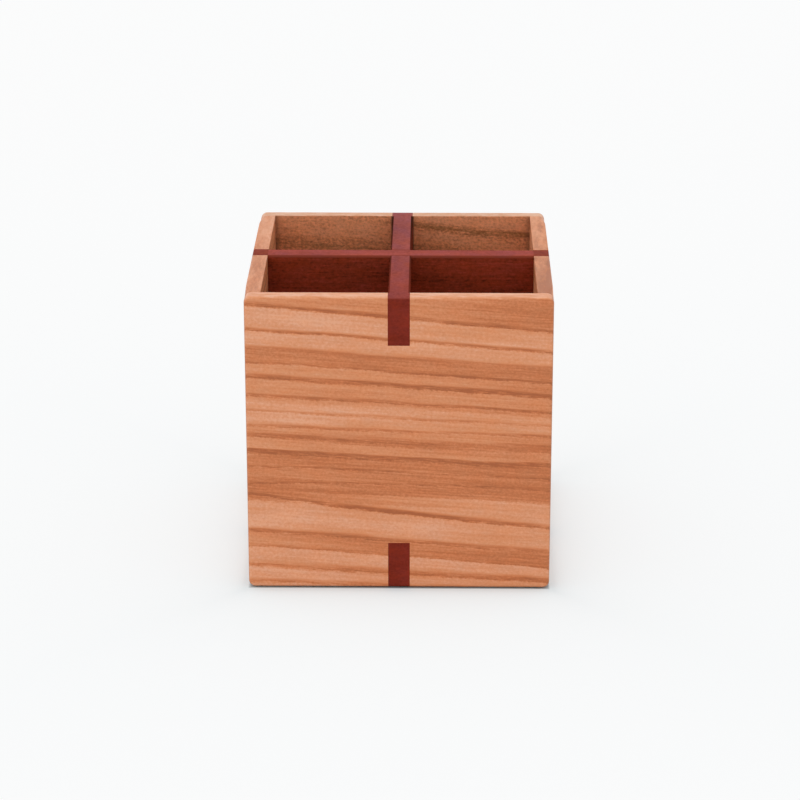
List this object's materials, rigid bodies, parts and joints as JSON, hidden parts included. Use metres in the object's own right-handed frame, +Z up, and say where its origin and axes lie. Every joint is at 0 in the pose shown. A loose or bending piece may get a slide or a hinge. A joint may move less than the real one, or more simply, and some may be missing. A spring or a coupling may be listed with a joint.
{
  "type": "pen holder",
  "caption": "Open-topped square wooden box with crossed dark red dividers halved together, whose ears show through slots in the walls; stands on a desk and holds pens upright.",
  "frame": {"origin": "centre of the foot, on the surface that the pen holder stands on", "axes": "+X to the right seen from the front, +Y towards the back, +Z up"},
  "size_m": [0.1, 0.1, 0.1013],
  "materials": {
    "pale_wood": "satin",
    "red_wood": "satin"
  },
  "bodies": {
    "root": {"front_wall": "pale_wood", "back_wall": "pale_wood", "left_wall": "pale_wood", "right_wall": "pale_wood", "crosswise_divider": "red_wood", "lengthwise_divider": "red_wood", "floor_front_left": "pale_wood", "floor_front_right": "pale_wood", "floor_back_left": "pale_wood", "floor_back_right": "pale_wood"}
  },
  "joints": []
}
